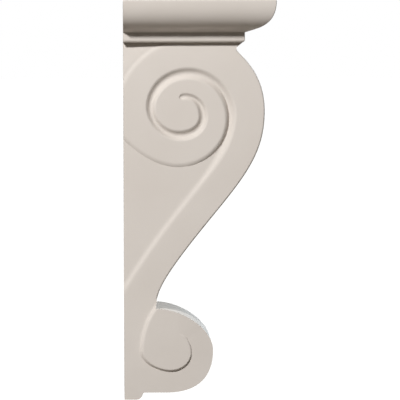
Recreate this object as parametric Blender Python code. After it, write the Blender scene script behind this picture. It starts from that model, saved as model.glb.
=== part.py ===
"""Scrolled wall corbel, cast in one piece.

The corbel stands against a wall: +Z is up, the flat wall face lies on the plane y = 0 and the
scroll projects towards -Y. The two carved sides face -X and +X and are alike. The origin is the
middle of the wall face. Sizes are in metres.

The side view is drawn in parts, as a carver sets it out: the scroll below the cap is 100 parts
high and 40 parts deep. A drawn point is (out, up), out from the wall and up from the foot.
"""
import math

import bmesh
import bpy

# Overall sizes
HEIGHT = 0.3556
CAP_HEIGHT = 0.0418
SCROLL_DEPTH = 0.126
SCROLL_WIDTH = 0.096

# Cap moulding, measured outwards from its core on the front and both sides
CORE_PROJECTION = 0.1006
CORE_SETBACK = 0.001
CAP_OVERHANG = 0.0348
CAP_EDGE_RADIUS = 0.0011
OVOLO_RISE = 0.0135
OVOLO_FOOT_HEADING = 18.9
OVOLO_FOOT_PULL = 0.0116
OVOLO_RIM_HEADING = 88.0
OVOLO_RIM_PULL = 0.0223
FILLET_OVERHANG = 0.0076
FILLET_RISE = 0.0046
FILLET_RADIUS = 0.0028
NECK_RADIUS = 0.002

# Carving on the sides
CARVING_DEPTH = 0.0044
WALL_RUN = 0.0046
ROLL_RUN = 0.0075
ROLL_TURN = 60.0
ROLL_DEPTH = 0.0030
NEAR_WALL_SHARE = 0.38
WALL_STEEPNESS = 2.2
BAND_DEPTH = 0.0015
BAND_OGEE_RUN = 0.009
BAND_SWELL = 0.0003
BAND_SOFT_SHARE = 0.45
BAND_CRISP_SHARE = 0.95
CREST_DEPTH = 0.0011
CREST_OGEE_RUN = 0.0085
GROOVE_END_DEPTH = 0.0015
VOLUTE_STEP = 0.0027
VOLUTE_RUN = 0.0022
VOLUTE_OGEE_RUN = 0.0042
VOLUTE_SWELL = 0.0018

# Foot below the lower volute
TOE_PROJECTION = 0.0163
TOE_RADIUS = 0.0056
TOE_COVE_RADIUS = 0.002

# Drawing of the scroll, in parts
PARTS_UP = 100.0
PARTS_OUT = 40.0
NECK = (32.1, 99.35)
BELLY = (40.0, 82.1)
WAIST = (24.3, 51.1)
NOTCH = (8.95, 25.9)
NOSE = (25.15, 14.06)
SOLE = (12.1, 2.0)
WAIST_HEADING = -129.4
COIL_CENTRE = (16.82, 82.27)
DISC_START = (10.0, 27.1)
DISC_LEFT = (5.33, 14.1)
DISC_BOTTOM = (13.3, 8.7)
DISC_RIGHT = (17.4, 17.3)
DISC_TIP = (13.9, 18.4)
BAND_WALL_END = (-1.37, 26.7)

# Radii of the spiral walls in parts, one for each eighth of a turn
EIGHTH = 45.0
COIL_FIRST_TURN = -180.0
COIL_RADII = (19.3, 15.85, 14.65, 13.3, 11.5, 9.7, 8.35, 7.75, 7.55, 6.4, 5.35, 5.05, 3.95, 3.4, 2.7, 2.4)
RIBBON_FIRST_TURN = -45.0
RIBBON_RADII = (17.2, 15.4, 13.75, 12.35, 11.5, 10.7, 9.5, 8.9, 8.4, 7.1, 5.8, 5.05, 4.6)
CREST_FIRST_TURN = 45.0
CREST_RADII = (20.5, 18.8, 17.4, 17.6, 18.5)
FIELD_START_TURN = -165.0
GROOVE_FADE_TURN = 370.0
GROOVE_END_TURN = 447.0
GROOVE_TIP_TURN = 20.0
CREST_START_TURN = 84.0
CREST_END_TURN = 172.0

# Fineness of the solid
OUTLINE_STEPS = 20
FIELD_STEPS = 24
GROOVE_STEP = 6.0
TIP_STEPS = 4
WALL_STEPS = 5
CREST_STEPS = 14
RAMP_STEPS = 12
RAMP_TIP_STEPS = 6
CORNER_STEPS = 4
OVOLO_STEPS = 12
SHARP = math.radians(30.0)

# Allowances of the cutting shapes outside the corbel
BEHIND_WALL = 0.012
CLEAR = 0.006
VOLUTE_REACH = 0.032
FLARE = 0.0004
RISE = 0.00005
SINK = 0.00002
MERGE = 1e-6

SCROLL_HEIGHT = HEIGHT - CAP_HEIGHT
HALF_WIDTH = SCROLL_WIDTH / 2
FIRST_HALF_WIDTH = HALF_WIDTH + VOLUTE_STEP
CORE_HALF_WIDTH = HALF_WIDTH - CORE_SETBACK
FOOT = -HEIGHT / 2
SIDES = (-1.0, 1.0)


def scaled(point):
    """Turn a drawn point in parts into metres, out from the wall and up from the foot."""
    out, up = point
    return out * SCROLL_DEPTH / PARTS_OUT, up * SCROLL_HEIGHT / PARTS_UP


def placed(sideways, out, up):
    """Place a point given by its distance sideways, out from the wall and up from the foot."""
    return sideways, -out, FOOT + up


def eased(share):
    """Run from 0 to 1 with a gentle start and end, and stay there beyond them."""
    share = min(1.0, max(0.0, share))
    return share * share * (3 - 2 * share)


def curve(start, start_heading, start_pull, end, end_heading, end_pull, steps):
    """Draw a Bezier stretch between two points with given headings, without its last point."""
    first = math.radians(start_heading)
    last = math.radians(end_heading)
    pulls = (
        start,
        (start[0] + start_pull * math.cos(first), start[1] + start_pull * math.sin(first)),
        (end[0] - end_pull * math.cos(last), end[1] - end_pull * math.sin(last)),
        end,
    )
    points = []
    for step in range(steps):
        t = step / steps
        weights = ((1 - t) ** 3, 3 * (1 - t) ** 2 * t, 3 * (1 - t) * t * t, t ** 3)
        points.append(tuple(sum(w * p[axis] for w, p in zip(weights, pulls)) for axis in (0, 1)))
    return points


def rounded(corners):
    """Round the corners of an open outline, each given as (out, up, radius), all but its ends."""
    points = [corners[0][:2]]
    for before, corner, after in zip(corners, corners[1:], corners[2:]):
        centre = corner[:2]
        back = (before[0] - centre[0], before[1] - centre[1])
        ahead = (after[0] - centre[0], after[1] - centre[1])
        back_angle = math.atan2(back[1], back[0])
        ahead_angle = math.atan2(ahead[1], ahead[0])
        opening = (ahead_angle - back_angle + math.pi) % (2 * math.pi) - math.pi
        radius = corner[2]
        middle = back_angle + opening / 2
        reach = radius / abs(math.sin(opening / 2))
        hub = (centre[0] + reach * math.cos(middle), centre[1] + reach * math.sin(middle))
        sweep = math.copysign(math.pi - abs(opening), -opening)
        first = middle + math.pi - sweep / 2
        for step in range(CORNER_STEPS + 1):
            angle = first + sweep * step / CORNER_STEPS
            points.append((hub[0] + radius * math.cos(angle), hub[1] + radius * math.sin(angle)))
    points.append(corners[-1][:2])
    return points


def radius_at(turn, first_turn, radii):
    """Read a spiral's radius in parts at a turn in degrees, smoothly between its eighths."""
    place = (turn - first_turn) / EIGHTH
    index = min(max(int(math.floor(place)), 1), len(radii) - 3)
    t = place - index
    before, start, end, after = radii[index - 1:index + 3]
    start_slope = (end - before) / 2
    end_slope = (after - start) / 2
    rise = end - start
    return (start + start_slope * t + (3 * rise - 2 * start_slope - end_slope) * t * t
            + (start_slope + end_slope - 2 * rise) * t ** 3)


def on_spiral(turn, radius):
    """Find the point at a turn and a radius in metres from the middle of the upper coil."""
    out, up = scaled(COIL_CENTRE)
    angle = math.radians(turn)
    return out + radius * math.cos(angle), up + radius * math.sin(angle)


def metres(radius):
    """Turn a spiral radius in parts into metres."""
    return radius * SCROLL_HEIGHT / PARTS_UP


def scroll_outline():
    """Draw the side view of the scroll, from the wall at its foot round to the wall in the cap."""
    sole_up = scaled(SOLE)[1]
    toe = rounded((
        (-CLEAR, 0.0),
        (TOE_PROJECTION, 0.0, TOE_RADIUS),
        (TOE_PROJECTION, sole_up, TOE_COVE_RADIUS),
        (scaled(SOLE)[0], sole_up),
    ))
    drawn = (
        curve(SOLE, 0.0, 11.1, NOSE, 90.0, 5.0, OUTLINE_STEPS)
        + curve(NOSE, 90.0, 6.0, NOTCH, 180.0, 7.7, OUTLINE_STEPS)
        + curve(NOTCH, 84.0, 4.5, WAIST, 180 + WAIST_HEADING, 23.4, OUTLINE_STEPS)
        + curve(WAIST, 180 + WAIST_HEADING, 15.9, BELLY, 90.0, 12.0, OUTLINE_STEPS)
        + curve(BELLY, 90.0, 11.1, NECK, 121.4, 2.1, OUTLINE_STEPS)
    )
    fillet_front = CORE_PROJECTION + FILLET_OVERHANG
    neck = rounded((
        scaled(NECK),
        (CORE_PROJECTION, SCROLL_HEIGHT, NECK_RADIUS),
        (fillet_front - FILLET_RADIUS / 3, SCROLL_HEIGHT + FILLET_RISE + FILLET_RADIUS / 3),
    ))
    inside_cap = SCROLL_HEIGHT + CAP_HEIGHT / 2
    top = [(fillet_front - CLEAR, inside_cap), (-CLEAR, inside_cap)]
    return toe[:-1] + [scaled(point) for point in drawn] + neck + top


def cap_profile():
    """Draw the cap moulding from its underside to its top as (overhang, height in the cap)."""
    edge = CAP_HEIGHT - CAP_EDGE_RADIUS
    fillet = rounded((
        (-CLEAR, FILLET_RISE),
        (FILLET_OVERHANG, FILLET_RISE, FILLET_RADIUS),
        (FILLET_OVERHANG, OVOLO_RISE),
    ))
    ovolo = curve((FILLET_OVERHANG, OVOLO_RISE), OVOLO_FOOT_HEADING, OVOLO_FOOT_PULL,
                  (CAP_OVERHANG, edge), OVOLO_RIM_HEADING, OVOLO_RIM_PULL, OVOLO_STEPS)
    rim = rounded((
        (CAP_OVERHANG, OVOLO_RISE),
        (CAP_OVERHANG, CAP_HEIGHT, CAP_EDGE_RADIUS),
        (0.0, CAP_HEIGHT),
    ))
    return fillet[1:-1] + ovolo + rim[1:-1]


def new_object(name, bm):
    """Finish a bmesh as an object in the scene."""
    bmesh.ops.recalc_face_normals(bm, faces=bm.faces)
    mesh = bpy.data.meshes.new(name)
    bm.to_mesh(mesh)
    bm.free()
    thing = bpy.data.objects.new(name, mesh)
    bpy.context.scene.collection.objects.link(thing)
    return thing


def as_guide(thing):
    """Keep a cutting or joining shape out of the finished model."""
    thing.hide_render = True
    thing.display_type = 'WIRE'
    return thing


def build_scroll():
    """Extrude the side view to the full width over the lower volutes."""
    bm = bmesh.new()
    corners = [bm.verts.new(placed(-FIRST_HALF_WIDTH, *point)) for point in scroll_outline()]
    face = bm.faces.new(corners)
    grown = bmesh.ops.extrude_face_region(bm, geom=[face])["geom"]
    moved = [item for item in grown if isinstance(item, bmesh.types.BMVert)]
    bmesh.ops.translate(bm, verts=moved, vec=(2 * FIRST_HALF_WIDTH, 0, 0))
    return new_object("corbel", bm)


def build_cap():
    """Stack the moulding's rectangles, mitred at both front corners."""
    bm = bmesh.new()
    rings = []
    for overhang, rise in cap_profile():
        half = CORE_HALF_WIDTH + overhang
        front = CORE_PROJECTION + overhang
        corners = ((half, -BEHIND_WALL), (half, front), (-half, front), (-half, -BEHIND_WALL))
        rings.append([bm.verts.new(placed(x, out, SCROLL_HEIGHT + rise)) for x, out in corners])
    bm.faces.new(rings[0])
    bm.faces.new(rings[-1])
    for lower, upper in zip(rings, rings[1:]):
        for i in range(len(lower)):
            bm.faces.new((lower[i - 1], lower[i], upper[i], upper[i - 1]))
    return as_guide(new_object("cap", bm))


def add_surface(bm, sections):
    """Shape a grid so that each of its rows follows one section."""
    columns = len(sections[0]) - 1
    grid = bmesh.ops.create_grid(bm, x_segments=columns, y_segments=len(sections) - 1, size=1.0)
    places = [point for section in sections for point in section]
    for vert, place in zip(grid["verts"], places):
        vert.co = place


def close_outwards(bm, side):
    """Pull a carved surface out past the side of the corbel, so that it becomes a cutter."""
    bmesh.ops.remove_doubles(bm, verts=bm.verts, dist=MERGE)
    grown = bmesh.ops.extrude_face_region(bm, geom=list(bm.faces))["geom"]
    for item in grown:
        if isinstance(item, bmesh.types.BMVert):
            item.co.x = side * (FIRST_HALF_WIDTH + CLEAR)


def join(bm, other):
    """Add another bmesh to this one."""
    mesh = bpy.data.meshes.new("joined")
    other.to_mesh(mesh)
    other.free()
    bm.from_mesh(mesh)
    bpy.data.meshes.remove(mesh)


def wall_profile(width, depth, swell=0.0, softness=0.0, roll=0.0):
    """Draw the wall of a carving as (run from its lip, drop), from above its lip to its floor.

    A crisp wall falls ever more steeply from its rounded lip to the floor. A soft one is an
    ogee that starts its swell before the lip. Softness runs from 0, crisp, to 1, soft, and
    roll in the same way turns a crisp wall into one that rounds over evenly to its foot.
    """
    points = [(-FLARE - swell * softness, -RISE)]
    for step in range(WALL_STEPS + 1):
        share = step / WALL_STEPS
        run = width * share - swell * softness * (1 - share)
        crisp = share ** WALL_STEEPNESS
        rolled = 2 * share ** 2 if share < 0.5 else 1 - 2 * (1 - share) ** 2
        crisp += (rolled - crisp) * roll
        soft = 4 * share ** 3 if share < 0.5 else 1 - 4 * (1 - share) ** 3
        points.append((run, SINK + depth * (crisp + (soft - crisp) * softness)))
    return points


def wall(lip, inwards, profile, top, side):
    """Stand a wall profile on the drawing at a lip, heading inwards, below a top level."""
    return [placed(side * (top - drop), lip[0] + inwards[0] * run, lip[1] + inwards[1] * run)
            for run, drop in profile]


def heading(turn):
    """Give the direction outwards at a turn in degrees."""
    return math.cos(math.radians(turn)), math.sin(math.radians(turn))


def with_normals(points):
    """Pair each point of a drawn line with the direction to its left, but for the last."""
    pairs = []
    for before, after in zip(points, points[1:]):
        length = math.dist(before, after)
        pairs.append((before, (-(after[1] - before[1]) / length, (after[0] - before[0]) / length)))
    return pairs


def band_lip():
    """Draw the inner lip of the scroll's long band from behind the wall up to the coil."""
    points = [scaled(point) for point in curve(
        BAND_WALL_END, 60.0, 37.9,
        (COIL_CENTRE[0] + RIBBON_RADII[1], COIL_CENTRE[1]), 90.0, 17.0, FIELD_STEPS)]
    points.append(on_spiral(0.0, metres(RIBBON_RADII[1])))
    return with_normals(points)


def channel_sections(side):
    """Work out the sections of the open field and of the groove that winds in from it."""
    sections = []
    for step, (lip, inwards) in enumerate(band_lip()):
        share = step / FIELD_STEPS
        turn = FIELD_START_TURN * (1 - share)
        coil_lip = on_spiral(turn, metres(radius_at(turn, COIL_FIRST_TURN, COIL_RADII)))
        softness = 1 - eased((share - BAND_SOFT_SHARE) / (BAND_CRISP_SHARE - BAND_SOFT_SHARE))
        depth = CARVING_DEPTH + (BAND_DEPTH - CARVING_DEPTH) * softness
        far_run = ROLL_RUN + (BAND_OGEE_RUN - ROLL_RUN) * softness
        near = wall_profile(WALL_RUN, depth)
        far = wall_profile(far_run, depth, BAND_SWELL, softness, roll=1.0)
        sections.append(wall(coil_lip, heading(turn), near, HALF_WIDTH, side)
                        + wall(lip, inwards, far, HALF_WIDTH, side)[::-1])
    turn = 0.0
    while turn < GROOVE_END_TURN - GROOVE_STEP / 2:
        turn += GROOVE_STEP
        sections.append(groove_section(turn, 1.0, side))
    for step in range(1, TIP_STEPS + 1):
        share = math.sin(math.pi / 2 * step / TIP_STEPS)
        fullness = math.sqrt(max(0.0, 1 - share * share))
        sections.append(groove_section(turn + GROOVE_TIP_TURN * share, fullness, side))
    return sections


def groove_section(turn, fullness, side):
    """Work out one section of the groove, narrowed at its tip by its fullness."""
    inner = metres(radius_at(turn, COIL_FIRST_TURN, COIL_RADII))
    outer = metres(radius_at(turn, RIBBON_FIRST_TURN, RIBBON_RADII))
    middle = (inner + outer) / 2
    half = (outer - inner) / 2 * fullness
    fade = eased((turn - GROOVE_FADE_TURN) / (GROOVE_END_TURN - GROOVE_FADE_TURN))
    roll = eased(turn / ROLL_TURN)
    depth = CARVING_DEPTH + (ROLL_DEPTH - CARVING_DEPTH) * roll
    depth = (depth + (GROOVE_END_DEPTH - depth) * fade) * fullness
    outwards = heading(turn)
    inwards = (-outwards[0], -outwards[1])
    near_share = NEAR_WALL_SHARE + (0.5 - NEAR_WALL_SHARE) * roll
    near_profile = wall_profile(min(ROLL_RUN, 2 * half * near_share), depth, roll=roll)
    far_profile = wall_profile(min(ROLL_RUN, 2 * half * (1 - near_share)), depth, roll=1.0)
    top = HALF_WIDTH + (RISE + SINK) * (1 - fullness) ** 2
    near = wall(on_spiral(turn, middle - half), outwards, near_profile, top, side)
    far = wall(on_spiral(turn, middle + half), inwards, far_profile, top, side)
    return near + far[::-1]


def build_channels():
    """Cut the field and the spiral groove on both sides."""
    bm = bmesh.new()
    for side in SIDES:
        half = bmesh.new()
        add_surface(half, channel_sections(side))
        close_outwards(half, side)
        join(bm, half)
    return as_guide(new_object("channels", bm))


def build_corners():
    """Cut the sunk corners between the crest of the coil, the cap and the wall."""
    bm = bmesh.new()
    corner_up = SCROLL_HEIGHT + CAP_HEIGHT / 4
    profile = wall_profile(CREST_OGEE_RUN, CREST_DEPTH, softness=1.0)
    for side in SIDES:
        sections = []
        for step in range(CREST_STEPS + 1):
            turn = CREST_START_TURN + (CREST_END_TURN - CREST_START_TURN) * step / CREST_STEPS
            lip = on_spiral(turn, metres(radius_at(turn, CREST_FIRST_TURN, CREST_RADII)))
            section = wall(lip, heading(turn), profile, HALF_WIDTH, side)
            floor = side * (HALF_WIDTH - CARVING_DEPTH - SINK)
            section.append(placed(floor, -BEHIND_WALL, corner_up + BEHIND_WALL))
            sections.append(section)
        half = bmesh.new()
        add_surface(half, sections)
        close_outwards(half, side)
        join(bm, half)
    return as_guide(new_object("corners", bm))


def disc_edge():
    """Draw the edge of the lower disc from above the notch down, round and up to where it fades."""
    left = curve(DISC_START, -131.0, 4.4, DISC_LEFT, -90.0, 4.3, RAMP_STEPS)
    bottom = curve(DISC_LEFT, -90.0, 3.0, DISC_BOTTOM, 0.0, 3.8, RAMP_STEPS)
    right = curve(DISC_BOTTOM, 0.0, 2.8, DISC_RIGHT, 120.0, 6.9, RAMP_STEPS)
    tip = curve(DISC_RIGHT, 120.0, 1.2, DISC_TIP, 186.0, 1.8, RAMP_TIP_STEPS)
    beyond = (2 * DISC_TIP[0] - tip[-1][0], 2 * DISC_TIP[1] - tip[-1][1])
    edge = left + bottom + right + tip + [DISC_TIP, beyond]
    return with_normals([scaled(point) for point in edge])


def build_side_levels():
    """Lower both sides to the band's level, all but the lower disc, with the ramp beside it."""
    bm = bmesh.new()
    far_out = SCROLL_DEPTH + CLEAR
    notch_up = scaled(NOTCH)[1]
    for side in SIDES:
        half = bmesh.new()
        sections = []
        for step, (point, to_disc) in enumerate(disc_edge()):
            away = (-to_disc[0], -to_disc[1])
            ramp = max(0, step - 2 * RAMP_STEPS) / (RAMP_STEPS + RAMP_TIP_STEPS)
            depth = VOLUTE_STEP * (1 - eased(ramp)) - (RISE + 2 * SINK) * ramp
            softness = 1 - eased(step / (2 * RAMP_STEPS))
            width = (VOLUTE_RUN + (VOLUTE_OGEE_RUN - VOLUTE_RUN) * softness) * (1 - ramp / 2)
            profile = wall_profile(width, depth, VOLUTE_SWELL, softness)
            reach = SCROLL_DEPTH if step <= 2 * RAMP_STEPS else VOLUTE_REACH
            profile.append((reach, profile[-1][1]))
            sections.append(wall(point, away, profile, FIRST_HALF_WIDTH, side))
        add_surface(half, sections)
        near_floor = sections[0][-2]
        far_floor = sections[0][-1]
        level = near_floor[0]
        rim = [near_floor, far_floor, (level, SCROLL_DEPTH, far_floor[2]),
               placed(level, -SCROLL_DEPTH, HEIGHT), placed(level, far_out, HEIGHT),
               placed(level, far_out, notch_up + SCROLL_DEPTH / 4)]
        half.faces.new([half.verts.new(point) for point in rim])
        close_outwards(half, side)
        join(bm, half)
    return as_guide(new_object("side_levels", bm))


def build_wall_trim():
    """Make the block that trims everything behind the wall face."""
    bm = bmesh.new()
    bmesh.ops.create_cube(bm, size=1.0)
    width = 2 * (CORE_HALF_WIDTH + CAP_OVERHANG + CLEAR)
    depth = 2 * BEHIND_WALL
    bmesh.ops.scale(bm, verts=bm.verts, vec=(width, depth, HEIGHT + 2 * CLEAR))
    bmesh.ops.translate(bm, verts=bm.verts, vec=(0, depth / 2, 0))
    return as_guide(new_object("wall_trim", bm))


def combine(thing, other, operation):
    """Cut away or join another solid."""
    step = thing.modifiers.new(other.name, 'BOOLEAN')
    step.operation = operation
    step.object = other
    step.solver = 'EXACT'


def primer():
    """Mix the warm light grey primer."""
    paint = bpy.data.materials.new("primer")
    paint.use_nodes = True
    shader = paint.node_tree.nodes["Principled BSDF"]
    shader.inputs["Base Color"].default_value = (0.64, 0.58, 0.52, 1.0)
    shader.inputs["Roughness"].default_value = 0.6
    shader.inputs["Metallic"].default_value = 0.0
    return paint


def build_corbel():
    """Carve the scroll, set the cap on it and trim it flat against the wall."""
    corbel = build_scroll()
    combine(corbel, build_side_levels(), 'DIFFERENCE')
    combine(corbel, build_channels(), 'DIFFERENCE')
    combine(corbel, build_corners(), 'DIFFERENCE')
    combine(corbel, build_cap(), 'UNION')
    combine(corbel, build_wall_trim(), 'DIFFERENCE')
    corbel.data.materials.append(primer())
    corbel.data.shade_smooth()
    corbel.data.set_sharp_from_angle(angle=SHARP)


for old in list(bpy.data.objects):
    bpy.data.objects.remove(old)
build_corbel()
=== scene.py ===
"""Looks of the scrolled wall corbel, a one-piece casting in warm light grey primer.

The corbel is modelled again here more finely than the solid: the same side view, moulding and
carving, with eased mitres on the cap and eased arrises along the scroll.
Sizes are in metres. The side view is drawn in parts, the scroll being 100 parts high and 40 deep,
as (out, up): out from the wall and up from the foot. A turn is in degrees round the middle of the
upper coil, from straight out at 0 to straight up at 90, and a heading is in degrees the same way.
"""
import math

import bmesh
import bpy
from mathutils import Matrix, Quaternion, Vector


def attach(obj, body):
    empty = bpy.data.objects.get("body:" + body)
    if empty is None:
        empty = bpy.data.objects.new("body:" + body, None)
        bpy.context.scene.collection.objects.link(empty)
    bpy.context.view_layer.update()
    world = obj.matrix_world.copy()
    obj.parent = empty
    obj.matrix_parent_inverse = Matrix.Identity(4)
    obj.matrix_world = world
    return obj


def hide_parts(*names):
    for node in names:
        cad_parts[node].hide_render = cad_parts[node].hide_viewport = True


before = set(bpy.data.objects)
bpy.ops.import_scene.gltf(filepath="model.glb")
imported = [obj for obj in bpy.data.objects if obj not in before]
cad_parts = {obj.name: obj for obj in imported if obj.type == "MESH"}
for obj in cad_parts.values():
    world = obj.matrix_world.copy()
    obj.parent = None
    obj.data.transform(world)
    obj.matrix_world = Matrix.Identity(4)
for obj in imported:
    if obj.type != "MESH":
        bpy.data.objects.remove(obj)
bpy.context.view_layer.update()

# Overall sizes
HEIGHT = 0.3556
CAP_HEIGHT = 0.0418
SCROLL_DEPTH = 0.126
SCROLL_WIDTH = 0.096

# Cap moulding, measured outwards from its core on the front and both sides
CORE_PROJECTION = 0.1006
CORE_SETBACK = 0.001
CAP_OVERHANG = 0.0348
CAP_EDGE_RADIUS = 0.0011
OVOLO_RISE = 0.0135
OVOLO_FOOT_HEADING = 18.9
OVOLO_FOOT_PULL = 0.0116
OVOLO_RIM_HEADING = 88.0
OVOLO_RIM_PULL = 0.0223
FILLET_OVERHANG = 0.0076
FILLET_RISE = 0.0046
FILLET_RADIUS = 0.0028
NECK_RADIUS = 0.002
NECK_INTO_FILLET = FILLET_RADIUS / 3
MITRE_EASE = 0.0009

# Carving on the sides: how deep each wall falls and how far it runs from its lip
CARVING_DEPTH = 0.0044
WALL_RUN = 0.0046
ROLL_RUN = 0.0075
ROLL_TURN = 60.0
ROLL_DEPTH = 0.0030
NEAR_WALL_SHARE = 0.38
WALL_STEEPNESS = 2.2
ROLL_POWER = 2
OGEE_POWER = 3
BAND_DEPTH = 0.0015
BAND_OGEE_RUN = 0.009
BAND_SWELL = 0.0003
BAND_SOFT_SHARE = 0.45
BAND_CRISP_SHARE = 0.95
CREST_DEPTH = 0.0011
CREST_OGEE_RUN = 0.0085
GROOVE_END_DEPTH = 0.0015
VOLUTE_STEP = 0.0027
VOLUTE_RUN = 0.0022
VOLUTE_OGEE_RUN = 0.0042
VOLUTE_SWELL = 0.0018

# Rounding of the scroll's long arrises, from above the notch up to the neck
ARRIS_EASE = 0.0016
ARRIS_SEGMENTS = 5
NOTCH_CLEARANCE = 0.009
SIDE_FACING = 0.9

# Foot below the lower volute
TOE_PROJECTION = 0.0163
TOE_RADIUS = 0.0056
TOE_COVE_RADIUS = 0.002

# Drawing of the scroll, in parts
PARTS_UP = 100.0
PARTS_OUT = 40.0
NECK = (32.1, 99.35)
BELLY = (40.0, 82.1)
WAIST = (24.3, 51.1)
NOTCH = (8.95, 25.9)
NOSE = (25.15, 14.06)
SOLE = (12.1, 2.0)
COIL_CENTRE = (16.82, 82.27)
DISC_START = (10.0, 27.1)
DISC_LEFT = (5.33, 14.1)
DISC_BOTTOM = (13.3, 8.7)
DISC_RIGHT = (17.4, 17.3)
DISC_TIP = (13.9, 18.4)
BAND_WALL_END = (-1.37, 26.7)

# Radii of the spiral walls in parts, one for each eighth of a turn
EIGHTH = 45.0
COIL_FIRST_TURN = -180.0
COIL_RADII = (
    19.3, 15.85, 14.65, 13.3, 11.5, 9.7, 8.35, 7.75,
    7.55, 6.4, 5.35, 5.05, 3.95, 3.4, 2.7, 2.4,
)
RIBBON_FIRST_TURN = -45.0
RIBBON_RADII = (
    17.2, 15.4, 13.75, 12.35, 11.5, 10.7, 9.5, 8.9,
    8.4, 7.1, 5.8, 5.05, 4.6,
)
CREST_FIRST_TURN = 45.0
CREST_RADII = (20.5, 18.8, 17.4, 17.6, 18.5)
FIELD_START_TURN = -165.0
GROOVE_FADE_TURN = 370.0
GROOVE_END_TURN = 447.0
GROOVE_TIP_TURN = 20.0
CREST_START_TURN = 84.0
CREST_END_TURN = 172.0

# Curves of the drawing, each as a start, its heading and pull, and an end, its heading and pull
WAIST_HEADING = 50.6
SCROLL_CURVES = (
    (SOLE, 0.0, 11.1, NOSE, 90.0, 5.0),
    (NOSE, 90.0, 6.0, NOTCH, 180.0, 7.7),
    (NOTCH, 84.0, 4.5, WAIST, WAIST_HEADING, 23.4),
    (WAIST, WAIST_HEADING, 15.9, BELLY, 90.0, 12.0),
    (BELLY, 90.0, 11.1, NECK, 121.4, 2.1),
)
DISC_CURVES = (
    (DISC_START, -131.0, 4.4, DISC_LEFT, -90.0, 4.3),
    (DISC_LEFT, -90.0, 3.0, DISC_BOTTOM, 0.0, 3.8),
    (DISC_BOTTOM, 0.0, 2.8, DISC_RIGHT, 120.0, 6.9),
)
DISC_TIP_CURVE = (DISC_RIGHT, 120.0, 1.2, DISC_TIP, 186.0, 1.8)
BAND_COIL_END = (COIL_CENTRE[0] + RIBBON_RADII[1], COIL_CENTRE[1])
BAND_LIP_CURVE = (BAND_WALL_END, 60.0, 37.9, BAND_COIL_END, 90.0, 17.0)

# Fineness of the mesh
OUTLINE_STEPS = 52
FIELD_STEPS = 72
GROOVE_STEP = 3.0
TIP_STEPS = 10
WALL_STEPS = 12
CREST_STEPS = 36
RAMP_STEPS = 36
RAMP_TIP_STEPS = 22
CORNER_STEPS = 14
MITRE_STEPS = 3
OVOLO_STEPS = 28
SHARP = math.radians(35.0)
NORMALS_WEIGHT = 100

# Allowances of the cutting shapes: past the corbel, and above and below the lip of a wall
BEHIND_WALL = 0.012
CLEAR = 0.006
VOLUTE_REACH = 0.032
CORNER_CUTTER_RISE = CAP_HEIGHT / 4
LEVEL_CUTTER_RISE = SCROLL_DEPTH / 4
FLARE = 0.0004
RISE = 0.00005
SINK = 0.00002

# Gaps too small to count
MERGE = 1e-6
TRACE = 1e-5

SCROLL_HEIGHT = HEIGHT - CAP_HEIGHT
HALF_WIDTH = SCROLL_WIDTH / 2
FIRST_HALF_WIDTH = HALF_WIDTH + VOLUTE_STEP
CORE_HALF_WIDTH = HALF_WIDTH - CORE_SETBACK
FOOT = -HEIGHT / 2
SIDES = (-1.0, 1.0)


# Drawing

def scaled(point):
    """Turn a drawn point in parts into metres, out from the wall and up from the foot."""
    out, up = point
    return out * SCROLL_DEPTH / PARTS_OUT, up * SCROLL_HEIGHT / PARTS_UP


def placed(sideways, out, up):
    """Place a point given by its distance sideways, out from the wall and up from the foot."""
    return sideways, -out, FOOT + up


def eased(share):
    """Run from 0 to 1 with a gentle start and end, and stay there beyond them."""
    share = min(1.0, max(0.0, share))
    return share * share * (3 - 2 * share)


def ogee(share, power):
    """Run from 0 to 1, steepest half way, the more so with a higher power."""
    if share < 0.5:
        return (2 * share) ** power / 2
    return 1 - (2 - 2 * share) ** power / 2


def curve(start, start_heading, start_pull, end, end_heading, end_pull, steps):
    """Draw a smooth curve between two points, without its last point.

    It leaves the start and meets the end at the given headings, and follows each heading the
    further the longer its pull is.
    """
    first = math.radians(start_heading)
    last = math.radians(end_heading)
    pulls = (
        start,
        (start[0] + start_pull * math.cos(first), start[1] + start_pull * math.sin(first)),
        (end[0] - end_pull * math.cos(last), end[1] - end_pull * math.sin(last)),
        end,
    )
    points = []
    for step in range(steps):
        t = step / steps
        weights = ((1 - t) ** 3, 3 * (1 - t) ** 2 * t, 3 * (1 - t) * t * t, t ** 3)
        points.append(tuple(sum(w * p[axis] for w, p in zip(weights, pulls)) for axis in (0, 1)))
    return points


def rounded(corners):
    """Round the corners of an open outline, each given as (out, up, radius), all but its ends."""
    points = [corners[0][:2]]
    for before, corner, after in zip(corners, corners[1:], corners[2:]):
        centre = corner[:2]
        back = (before[0] - centre[0], before[1] - centre[1])
        ahead = (after[0] - centre[0], after[1] - centre[1])
        back_angle = math.atan2(back[1], back[0])
        ahead_angle = math.atan2(ahead[1], ahead[0])
        opening = (ahead_angle - back_angle + math.pi) % (2 * math.pi) - math.pi
        radius = corner[2]
        middle = back_angle + opening / 2
        reach = radius / abs(math.sin(opening / 2))
        hub = (centre[0] + reach * math.cos(middle), centre[1] + reach * math.sin(middle))
        sweep = math.copysign(math.pi - abs(opening), -opening)
        first = middle + math.pi - sweep / 2
        for step in range(CORNER_STEPS + 1):
            angle = first + sweep * step / CORNER_STEPS
            points.append((hub[0] + radius * math.cos(angle), hub[1] + radius * math.sin(angle)))
    points.append(corners[-1][:2])
    return points


def radius_at(turn, first_turn, radii):
    """Read a spiral's radius in parts at a turn in degrees, smoothly between its eighths."""
    place = (turn - first_turn) / EIGHTH
    index = min(max(int(math.floor(place)), 1), len(radii) - 3)
    t = place - index
    before, start, end, after = radii[index - 1:index + 3]
    start_slope = (end - before) / 2
    end_slope = (after - start) / 2
    rise = end - start
    return (start + start_slope * t + (3 * rise - 2 * start_slope - end_slope) * t * t
            + (start_slope + end_slope - 2 * rise) * t ** 3)


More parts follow.
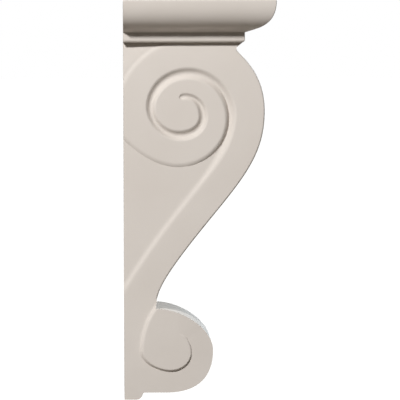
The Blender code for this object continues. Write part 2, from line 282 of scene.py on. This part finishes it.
def on_spiral(turn, radius):
    """Find the point at a turn and a radius in metres from the middle of the upper coil."""
    out, up = scaled(COIL_CENTRE)
    angle = math.radians(turn)
    return out + radius * math.cos(angle), up + radius * math.sin(angle)


def metres(radius):
    """Turn a spiral radius in parts into metres."""
    return radius * SCROLL_HEIGHT / PARTS_UP


def scroll_outline():
    """Draw the side view of the scroll, from the wall at its foot round to the wall in the cap."""
    sole_up = scaled(SOLE)[1]
    toe = rounded((
        (-CLEAR, 0.0),
        (TOE_PROJECTION, 0.0, TOE_RADIUS),
        (TOE_PROJECTION, sole_up, TOE_COVE_RADIUS),
        (scaled(SOLE)[0], sole_up),
    ))
    drawn = [scaled(point) for drawing in SCROLL_CURVES for point in curve(*drawing, OUTLINE_STEPS)]
    fillet_front = CORE_PROJECTION + FILLET_OVERHANG
    neck = rounded((
        scaled(NECK),
        (CORE_PROJECTION, SCROLL_HEIGHT, NECK_RADIUS),
        (fillet_front - NECK_INTO_FILLET, SCROLL_HEIGHT + FILLET_RISE + NECK_INTO_FILLET),
    ))
    inside_cap = SCROLL_HEIGHT + CAP_HEIGHT / 2
    top = [(fillet_front - CLEAR, inside_cap), (-CLEAR, inside_cap)]
    return toe[:-1] + drawn + neck + top


def cap_profile():
    """Draw the cap moulding from its underside to its top as (overhang, height in the cap)."""
    edge = CAP_HEIGHT - CAP_EDGE_RADIUS
    fillet = rounded((
        (-CLEAR, FILLET_RISE),
        (FILLET_OVERHANG, FILLET_RISE, FILLET_RADIUS),
        (FILLET_OVERHANG, OVOLO_RISE),
    ))
    ovolo = curve((FILLET_OVERHANG, OVOLO_RISE), OVOLO_FOOT_HEADING, OVOLO_FOOT_PULL,
                  (CAP_OVERHANG, edge), OVOLO_RIM_HEADING, OVOLO_RIM_PULL, OVOLO_STEPS)
    rim = rounded((
        (CAP_OVERHANG, OVOLO_RISE),
        (CAP_OVERHANG, CAP_HEIGHT, CAP_EDGE_RADIUS),
        (0.0, CAP_HEIGHT),
    ))
    return fillet[1:-1] + ovolo + rim[1:-1]


# Solids and cutters

def new_object(name, bm):
    """Finish a bmesh as an object in the scene."""
    bmesh.ops.recalc_face_normals(bm, faces=bm.faces)
    mesh = bpy.data.meshes.new(name)
    bm.to_mesh(mesh)
    bm.free()
    thing = bpy.data.objects.new(name, mesh)
    bpy.context.scene.collection.objects.link(thing)
    return thing


def build_scroll():
    """Extrude the side view to the full width over the lower volutes."""
    bm = bmesh.new()
    corners = [bm.verts.new(placed(-FIRST_HALF_WIDTH, *point)) for point in scroll_outline()]
    face = bm.faces.new(corners)
    grown = bmesh.ops.extrude_face_region(bm, geom=[face])["geom"]
    moved = [item for item in grown if isinstance(item, bmesh.types.BMVert)]
    bmesh.ops.translate(bm, verts=moved, vec=(2 * FIRST_HALF_WIDTH, 0, 0))
    return new_object("corbel_casting", bm)


def build_cap():
    """Stack the moulding's rectangles, with eased mitres at both front corners."""
    bm = bmesh.new()
    turns = [math.pi / 2 * step / MITRE_STEPS for step in range(MITRE_STEPS + 1)]
    rings = []
    for overhang, rise in cap_profile():
        half = CORE_HALF_WIDTH + overhang
        front = CORE_PROJECTION + overhang
        right = [(half - MITRE_EASE * (1 - math.cos(turn)), front - MITRE_EASE * (1 - math.sin(turn)))
                 for turn in turns]
        corners = [(half, -BEHIND_WALL)] + right
        corners += [(-x, out) for x, out in reversed(corners)]
        rings.append([bm.verts.new(placed(x, out, SCROLL_HEIGHT + rise)) for x, out in corners])
    bm.faces.new(rings[0])
    bm.faces.new(rings[-1])
    for lower, upper in zip(rings, rings[1:]):
        for here in range(len(lower)):
            bm.faces.new((lower[here - 1], lower[here], upper[here], upper[here - 1]))
    return new_object("cap", bm)


def add_surface(bm, sections):
    """Shape a grid so that each of its rows follows one section."""
    columns = len(sections[0]) - 1
    grid = bmesh.ops.create_grid(bm, x_segments=columns, y_segments=len(sections) - 1, size=1.0)
    places = [point for section in sections for point in section]
    for vert, place in zip(grid["verts"], places):
        vert.co = place


def close_outwards(bm, side):
    """Pull a carved surface out past the side of the corbel, so that it becomes a cutter."""
    bmesh.ops.remove_doubles(bm, verts=bm.verts, dist=MERGE)
    grown = bmesh.ops.extrude_face_region(bm, geom=list(bm.faces))["geom"]
    for item in grown:
        if isinstance(item, bmesh.types.BMVert):
            item.co.x = side * (FIRST_HALF_WIDTH + CLEAR)


def join(bm, other):
    """Add another bmesh to this one."""
    mesh = bpy.data.meshes.new("joined")
    other.to_mesh(mesh)
    other.free()
    bm.from_mesh(mesh)
    bpy.data.meshes.remove(mesh)


def add_cutter(bm, sections, side, rim=()):
    """Shape one side's cutter from its sections and the corners of its flat rim."""
    half = bmesh.new()
    add_surface(half, sections)
    if rim:
        half.faces.new([half.verts.new(point) for point in rim])
    close_outwards(half, side)
    join(bm, half)


def wall_profile(width, depth, swell=0.0, softness=0.0, roll=0.0):
    """Draw the wall of a carving as (run from its lip, drop), from above its lip to its floor.

    A crisp wall falls ever more steeply from its rounded lip to the floor. A soft one is an
    ogee that starts its swell before the lip. Softness runs from 0, crisp, to 1, soft, and
    roll in the same way turns a crisp wall into one that rounds over evenly to its foot.
    """
    points = [(-FLARE - swell * softness, -RISE)]
    for step in range(WALL_STEPS + 1):
        share = step / WALL_STEPS
        run = width * share - swell * softness * (1 - share)
        crisp = share ** WALL_STEEPNESS
        firm = crisp + (ogee(share, ROLL_POWER) - crisp) * roll
        fall = firm + (ogee(share, OGEE_POWER) - firm) * softness
        points.append((run, SINK + depth * fall))
    return points


def wall(lip, inwards, profile, top, side):
    """Stand a wall profile on the drawing at a lip, heading inwards, below a top level."""
    return [placed(side * (top - drop), lip[0] + inwards[0] * run, lip[1] + inwards[1] * run)
            for run, drop in profile]


def heading(turn):
    """Give the direction outwards at a turn in degrees."""
    return math.cos(math.radians(turn)), math.sin(math.radians(turn))


def with_normals(points):
    """Pair each point of a drawn line with the direction to its left, but for the last."""
    pairs = []
    for before, after in zip(points, points[1:]):
        length = math.dist(before, after)
        pairs.append((before, (-(after[1] - before[1]) / length, (after[0] - before[0]) / length)))
    return pairs


def band_lip():
    """Draw the inner lip of the scroll's long band from behind the wall up to the coil."""
    points = [scaled(point) for point in curve(*BAND_LIP_CURVE, FIELD_STEPS)]
    points.append(on_spiral(0.0, metres(RIBBON_RADII[1])))
    return with_normals(points)


def channel_sections(side):
    """Work out the sections of the open field and of the groove that winds in from it."""
    sections = []
    for step, (lip, inwards) in enumerate(band_lip()):
        share = step / FIELD_STEPS
        turn = FIELD_START_TURN * (1 - share)
        coil_lip = on_spiral(turn, metres(radius_at(turn, COIL_FIRST_TURN, COIL_RADII)))
        softness = 1 - eased((share - BAND_SOFT_SHARE) / (BAND_CRISP_SHARE - BAND_SOFT_SHARE))
        depth = CARVING_DEPTH + (BAND_DEPTH - CARVING_DEPTH) * softness
        far_run = ROLL_RUN + (BAND_OGEE_RUN - ROLL_RUN) * softness
        near = wall_profile(WALL_RUN, depth)
        far = wall_profile(far_run, depth, BAND_SWELL, softness, roll=1.0)
        sections.append(wall(coil_lip, heading(turn), near, HALF_WIDTH, side)
                        + wall(lip, inwards, far, HALF_WIDTH, side)[::-1])
    for index in range(1, round(GROOVE_END_TURN / GROOVE_STEP) + 1):
        sections.append(groove_section(index * GROOVE_STEP, 1.0, side))
    for step in range(1, TIP_STEPS + 1):
        share = math.sin(math.pi / 2 * step / TIP_STEPS)
        fullness = math.sqrt(max(0.0, 1 - share * share))
        sections.append(groove_section(GROOVE_END_TURN + GROOVE_TIP_TURN * share, fullness, side))
    return sections


def groove_section(turn, fullness, side):
    """Work out one section of the groove, narrowed at its tip by its fullness."""
    inner = metres(radius_at(turn, COIL_FIRST_TURN, COIL_RADII))
    outer = metres(radius_at(turn, RIBBON_FIRST_TURN, RIBBON_RADII))
    middle = (inner + outer) / 2
    half = (outer - inner) / 2 * fullness
    fade = eased((turn - GROOVE_FADE_TURN) / (GROOVE_END_TURN - GROOVE_FADE_TURN))
    roll = eased(turn / ROLL_TURN)
    depth = CARVING_DEPTH + (ROLL_DEPTH - CARVING_DEPTH) * roll
    depth = (depth + (GROOVE_END_DEPTH - depth) * fade) * fullness
    outwards = heading(turn)
    inwards = (-outwards[0], -outwards[1])
    near_share = NEAR_WALL_SHARE + (0.5 - NEAR_WALL_SHARE) * roll
    near_profile = wall_profile(min(ROLL_RUN, 2 * half * near_share), depth, roll=roll)
    far_profile = wall_profile(min(ROLL_RUN, 2 * half * (1 - near_share)), depth, roll=1.0)
    top = HALF_WIDTH + (RISE + SINK) * (1 - fullness) ** 2
    near = wall(on_spiral(turn, middle - half), outwards, near_profile, top, side)
    far = wall(on_spiral(turn, middle + half), inwards, far_profile, top, side)
    return near + far[::-1]


def build_channels():
    """Cut the field and the spiral groove on both sides."""
    bm = bmesh.new()
    for side in SIDES:
        add_cutter(bm, channel_sections(side), side)
    return new_object("channels", bm)


def build_corners():
    """Cut the sunk corners between the crest of the coil, the cap and the wall."""
    bm = bmesh.new()
    corner_up = SCROLL_HEIGHT + CORNER_CUTTER_RISE
    profile = wall_profile(CREST_OGEE_RUN, CREST_DEPTH, softness=1.0)
    for side in SIDES:
        sections = []
        for step in range(CREST_STEPS + 1):
            turn = CREST_START_TURN + (CREST_END_TURN - CREST_START_TURN) * step / CREST_STEPS
            lip = on_spiral(turn, metres(radius_at(turn, CREST_FIRST_TURN, CREST_RADII)))
            section = wall(lip, heading(turn), profile, HALF_WIDTH, side)
            floor = side * (HALF_WIDTH - CARVING_DEPTH - SINK)
            section.append(placed(floor, -BEHIND_WALL, corner_up + BEHIND_WALL))
            sections.append(section)
        add_cutter(bm, sections, side)
    return new_object("corners", bm)


def disc_edge():
    """Draw the edge of the lower disc from above the notch down, round and up to where it fades."""
    edge = [point for drawing in DISC_CURVES for point in curve(*drawing, RAMP_STEPS)]
    edge += curve(*DISC_TIP_CURVE, RAMP_TIP_STEPS)
    beyond = (2 * DISC_TIP[0] - edge[-1][0], 2 * DISC_TIP[1] - edge[-1][1])
    return with_normals([scaled(point) for point in edge + [DISC_TIP, beyond]])


def disc_sections(side):
    """Work out the wall round the lower disc, which ramps up to nothing at the disc's tip."""
    sections = []
    ramp_start = 2 * RAMP_STEPS
    for step, (point, to_disc) in enumerate(disc_edge()):
        away = (-to_disc[0], -to_disc[1])
        ramp = max(0, step - ramp_start) / (RAMP_STEPS + RAMP_TIP_STEPS)
        depth = VOLUTE_STEP * (1 - eased(ramp)) - (RISE + 2 * SINK) * ramp
        softness = 1 - eased(step / ramp_start)
        width = (VOLUTE_RUN + (VOLUTE_OGEE_RUN - VOLUTE_RUN) * softness) * (1 - ramp / 2)
        profile = wall_profile(width, depth, VOLUTE_SWELL, softness)
        reach = SCROLL_DEPTH if step <= ramp_start else VOLUTE_REACH
        profile.append((reach, profile[-1][1]))
        sections.append(wall(point, away, profile, FIRST_HALF_WIDTH, side))
    return sections


def build_side_levels():
    """Lower both sides to the band's level, all but the lower disc, with the ramp beside it."""
    bm = bmesh.new()
    far_out = SCROLL_DEPTH + CLEAR
    rim_up = scaled(NOTCH)[1] + LEVEL_CUTTER_RISE
    for side in SIDES:
        sections = disc_sections(side)
        near_floor, far_floor = sections[0][-2:]
        level = near_floor[0]
        rim = (near_floor, far_floor, (level, SCROLL_DEPTH, far_floor[2]),
               placed(level, -SCROLL_DEPTH, HEIGHT), placed(level, far_out, HEIGHT),
               placed(level, far_out, rim_up))
        add_cutter(bm, sections, side, rim)
    return new_object("side_levels", bm)


def build_wall_trim():
    """Make the block that trims everything behind the wall face."""
    bm = bmesh.new()
    bmesh.ops.create_cube(bm, size=1.0)
    width = 2 * (CORE_HALF_WIDTH + CAP_OVERHANG + CLEAR)
    depth = 2 * BEHIND_WALL
    bmesh.ops.scale(bm, verts=bm.verts, vec=(width, depth, HEIGHT + 2 * CLEAR))
    bmesh.ops.translate(bm, verts=bm.verts, vec=(0, depth / 2, 0))
    return new_object("wall_trim", bm)


def combine(thing, other, operation):
    """Cut away or join another solid for good."""
    boolean = thing.modifiers.new(other.name, 'BOOLEAN')
    boolean.operation = operation
    boolean.object = other
    boolean.solver = 'EXACT'
    bpy.context.view_layer.update()
    worked_out = thing.evaluated_get(bpy.context.evaluated_depsgraph_get())
    done = bpy.data.meshes.new_from_object(worked_out)
    thing.modifiers.clear()
    thing.data = done
    bpy.data.objects.remove(other)


def band_arrises(bm):
    """Find the arrises between the scroll's long front and its sides, from the notch to the neck."""
    lowest = FOOT + scaled(NOTCH)[1] + NOTCH_CLEARANCE
    highest = FOOT + scaled(NECK)[1] + TRACE
    arrises = []
    for edge in bm.edges:
        if len(edge.link_faces) != 2 or not edge.is_convex:
            continue
        front, side = sorted(edge.link_faces, key=lambda face: abs(face.normal.x))
        across = [vert.co.x for vert in front.verts]
        levels = [vert.co.z for vert in edge.verts]
        back = max(vert.co.y for vert in edge.verts)
        if (lowest < min(levels) and max(levels) < highest and back < -TRACE
                and min(across) < 0 < max(across) and abs(side.normal.x) > SIDE_FACING):
            arrises.append(edge)
    return arrises


def ease_outline(thing):
    """Ease the long arrises of the scroll."""
    bm = bmesh.new()
    bm.from_mesh(thing.data)
    bmesh.ops.remove_doubles(bm, verts=bm.verts, dist=TRACE)
    bmesh.ops.dissolve_degenerate(bm, edges=bm.edges, dist=MERGE)
    bmesh.ops.bevel(bm, geom=band_arrises(bm), offset=ARRIS_EASE, offset_type='OFFSET',
                    segments=ARRIS_SEGMENTS, profile=0.5, affect='EDGES', material=-1,
                    clamp_overlap=False)
    bm.to_mesh(thing.data)
    bm.free()


def build_casting():
    """Carve the scroll, set the cap on it, trim it flat against the wall and ease its arrises."""
    casting = build_scroll()
    combine(casting, build_side_levels(), 'DIFFERENCE')
    combine(casting, build_channels(), 'DIFFERENCE')
    combine(casting, build_corners(), 'DIFFERENCE')
    combine(casting, build_cap(), 'UNION')
    combine(casting, build_wall_trim(), 'DIFFERENCE')
    ease_outline(casting)
    casting.data.shade_smooth()
    casting.data.set_sharp_from_angle(angle=SHARP)
    even = casting.modifiers.new("even_normals", 'WEIGHTED_NORMAL')
    even.keep_sharp = True
    even.weight = NORMALS_WEIGHT
    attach(casting, "root")
    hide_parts("corbel")
    return casting


# Finishes

PRIMER_DARK = (0.655, 0.598, 0.545, 1.0)
PRIMER_LIGHT = (0.685, 0.632, 0.582, 1.0)
PRIMER_ROUGHNESS = (0.66, 0.78)
PRIMER_IOR = 1.45
FLOOR_DARK = (0.9, 0.9, 0.9, 1.0)
FLOOR_LIGHT = (0.93, 0.93, 0.93, 1.0)
FLOOR_ROUGHNESS = 0.9
WHITE = (1.0, 1.0, 1.0, 1.0)

# Scale and detail of each mottle
PATCHES = (14.0, 3.0)
GRAIN = (900.0, 2.0)
WAVES = (55.0, 2.0)
FLOOR_PATCHES = (2.0, 2.0)
MOTTLE_ROUGHNESS = 0.55
MASK_MIDDLE = (0.3, 0.7)

# Strength and height of each relief
GRAIN_RELIEF = (0.12, 0.0003)
WAVE_RELIEF = (0.08, 0.0015)

# Places of the colour sockets on a Mix node, which share their names with others
MIX_FIRST = 6
MIX_SECOND = 7
MIX_RESULT = 2


def mottle_group():
    """Make the group that gives soft uneven patches as a mask round a half."""
    group = bpy.data.node_groups.new("mottle", 'ShaderNodeTree')
    group.interface.new_socket("Scale", in_out='INPUT', socket_type='NodeSocketFloat')
    group.interface.new_socket("Detail", in_out='INPUT', socket_type='NodeSocketFloat')
    group.interface.new_socket("Mask", in_out='OUTPUT', socket_type='NodeSocketFloat')
    nodes = group.nodes
    into = nodes.new("NodeGroupInput")
    out = nodes.new("NodeGroupOutput")
    where = nodes.new("ShaderNodeTexCoord")
    noise = nodes.new("ShaderNodeTexNoise")
    noise.inputs["Roughness"].default_value = MOTTLE_ROUGHNESS
    group.links.new(where.outputs["Object"], noise.inputs["Vector"])
    group.links.new(into.outputs["Scale"], noise.inputs["Scale"])
    group.links.new(into.outputs["Detail"], noise.inputs["Detail"])
    group.links.new(noise.outputs["Fac"], out.inputs["Mask"])
    return group


def add_mottle(tree, group, size):
    """Place the mottle group in a material at a scale and detail, and give its mask."""
    node = tree.nodes.new("ShaderNodeGroup")
    node.node_tree = group
    node.inputs["Scale"].default_value, node.inputs["Detail"].default_value = size
    return node.outputs["Mask"]


def add_range(tree, mask, ends):
    """Stretch the middle of a mask over the range between two values."""
    node = tree.nodes.new("ShaderNodeMapRange")
    node.inputs["From Min"].default_value, node.inputs["From Max"].default_value = MASK_MIDDLE
    node.inputs["To Min"].default_value, node.inputs["To Max"].default_value = ends
    tree.links.new(mask, node.inputs["Value"])
    return node.outputs["Result"]


def add_blend(tree, mask, dark, light):
    """Blend two colours over the middle of a mask."""
    node = tree.nodes.new("ShaderNodeMix")
    node.data_type = 'RGBA'
    node.inputs[MIX_FIRST].default_value = dark
    node.inputs[MIX_SECOND].default_value = light
    tree.links.new(add_range(tree, mask, (0.0, 1.0)), node.inputs["Factor"])
    return node.outputs[MIX_RESULT]


def add_relief(tree, mask, relief):
    """Raise a mask as a relief of a given strength and height."""
    node = tree.nodes.new("ShaderNodeBump")
    node.inputs["Strength"].default_value, node.inputs["Distance"].default_value = relief
    tree.links.new(mask, node.inputs["Height"])
    return node


def primer(mottle):
    """Mix the sprayed primer: warm light grey, nearly matte, with a faint grain."""
    paint = bpy.data.materials.new("primer")
    paint.use_nodes = True
    tree = paint.node_tree
    shader = tree.nodes["Principled BSDF"]
    shader.inputs["Metallic"].default_value = 0.0
    shader.inputs["IOR"].default_value = PRIMER_IOR
    patches = add_mottle(tree, mottle, PATCHES)
    waves = add_mottle(tree, mottle, WAVES)
    colour = add_blend(tree, patches, PRIMER_DARK, PRIMER_LIGHT)
    tree.links.new(colour, shader.inputs["Base Color"])
    tree.links.new(add_range(tree, waves, PRIMER_ROUGHNESS), shader.inputs["Roughness"])
    fine = add_relief(tree, add_mottle(tree, mottle, GRAIN), GRAIN_RELIEF)
    soft = add_relief(tree, waves, WAVE_RELIEF)
    tree.links.new(soft.outputs["Normal"], fine.inputs["Normal"])
    tree.links.new(fine.outputs["Normal"], shader.inputs["Normal"])
    return paint


def studio_white(mottle):
    """Mix the pale finish of the studio floor."""
    paint = bpy.data.materials.new("studio_white")
    paint.use_nodes = True
    tree = paint.node_tree
    shader = tree.nodes["Principled BSDF"]
    shader.inputs["Roughness"].default_value = FLOOR_ROUGHNESS
    shader.inputs["Emission Color"].default_value = WHITE
    shader.inputs["Emission Strength"].default_value = 1.0
    colour = add_blend(tree, add_mottle(tree, mottle, FLOOR_PATCHES), FLOOR_DARK, FLOOR_LIGHT)
    tree.links.new(colour, shader.inputs["Base Color"])
    return paint


# Studio

FLOOR_DROP = 0.30
FLOOR_SIZE = 400.0

# Camera, with its roll in radians and its lens and sensor in millimetres
CAMERA_PLACE = (-3.048, 0.0046, 0.117)
CAMERA_AIM = (-0.048, -0.06795, 0.00045)
CAMERA_ROLL = -0.003
CAMERA_LENS = 303.3
CAMERA_SENSOR = 36.0

# Lights, with their powers in watts: the key high on the left of the view, the other beyond
LIGHT_AIM = (0.0, -0.06, 0.0)
KEY_PLACE = (-2.05, 0.95, 1.41)
KEY_SIZE = 0.35
KEY_POWER = 75.0
FAR_PLACE = (1.5, -1.6, 0.7)
FAR_SIZE = 0.9
FAR_POWER = 54.0
FAR_TINT = (0.82, 0.92, 1.0)

# Dim light of the room, and how it brightens towards the floor, by height of direction
AMBIENT_TINT = (1.0, 0.92, 0.82, 1.0)
AMBIENT_LEVEL = 0.08
FLOOR_LEVEL = 0.4
STRAIGHT_DOWN = -1.0
FLOOR_EDGE = -0.4


def aim(thing, target):
    """Turn a camera or a light towards a point."""
    back = thing.location - Vector(target)
    thing.rotation_mode = 'QUATERNION'
    thing.rotation_quaternion = back.to_track_quat('Z', 'Y')


def add_light(name, place, size, power, tint=(1.0, 1.0, 1.0)):
    """Hang a square soft light and aim it at the corbel."""
    light = bpy.data.lights.new(name, 'AREA')
    light.shape = 'SQUARE'
    light.size = size
    light.energy = power
    light.color = tint
    lamp = bpy.data.objects.new(name, light)
    lamp.location = place
    bpy.context.scene.collection.objects.link(lamp)
    aim(lamp, LIGHT_AIM)


def build_floor(paint):
    """Lay the pale floor well below the corbel, which hangs where its wall would hold it."""
    bm = bmesh.new()
    bmesh.ops.create_grid(bm, x_segments=1, y_segments=1, size=FLOOR_SIZE / 2)
    bmesh.ops.translate(bm, verts=bm.verts, vec=(0, 0, FOOT - FLOOR_DROP))
    floor = new_object("floor", bm)
    floor.data.materials.append(paint)
    floor.visible_diffuse = False
    floor.visible_glossy = False


def build_world():
    """Fill the room with dim light, stronger off the pale floor, behind a white view."""
    world = bpy.data.worlds.new("studio")
    world.use_nodes = True
    tree = world.node_tree
    ambient = tree.nodes["Background"]
    ambient.inputs["Color"].default_value = AMBIENT_TINT
    where = tree.nodes.new("ShaderNodeTexCoord")
    axes = tree.nodes.new("ShaderNodeSeparateXYZ")
    level = tree.nodes.new("ShaderNodeMapRange")
    level.inputs["From Min"].default_value = STRAIGHT_DOWN
    level.inputs["From Max"].default_value = FLOOR_EDGE
    level.inputs["To Min"].default_value = FLOOR_LEVEL
    level.inputs["To Max"].default_value = AMBIENT_LEVEL
    tree.links.new(where.outputs["Generated"], axes.inputs[0])
    tree.links.new(axes.outputs["Z"], level.inputs["Value"])
    tree.links.new(level.outputs["Result"], ambient.inputs["Strength"])
    white = tree.nodes.new("ShaderNodeBackground")
    white.inputs["Color"].default_value = WHITE
    white.inputs["Strength"].default_value = 1.0
    path = tree.nodes.new("ShaderNodeLightPath")
    pick = tree.nodes.new("ShaderNodeMixShader")
    tree.links.new(path.outputs["Is Camera Ray"], pick.inputs[0])
    tree.links.new(ambient.outputs[0], pick.inputs[1])
    tree.links.new(white.outputs[0], pick.inputs[2])
    tree.links.new(pick.outputs[0], tree.nodes["World Output"].inputs["Surface"])
    bpy.context.scene.world = world


def build_camera():
    """Set the camera square to the carved side, as in the photograph."""
    data = bpy.data.cameras.new("camera")
    data.lens = CAMERA_LENS
    data.sensor_width = CAMERA_SENSOR
    data.clip_end = FLOOR_SIZE
    camera = bpy.data.objects.new("camera", data)
    camera.location = CAMERA_PLACE
    bpy.context.scene.collection.objects.link(camera)
    aim(camera, CAMERA_AIM)
    camera.rotation_quaternion @= Quaternion((0, 0, 1), CAMERA_ROLL)
    bpy.context.scene.camera = camera


mottle = mottle_group()
casting = build_casting()
casting.data.materials.clear()
casting.data.materials.append(primer(mottle))
build_floor(studio_white(mottle))
build_world()
build_camera()
add_light("key", KEY_PLACE, KEY_SIZE, KEY_POWER)
add_light("far_side", FAR_PLACE, FAR_SIZE, FAR_POWER, FAR_TINT)
bpy.context.scene.view_settings.view_transform = 'Standard'
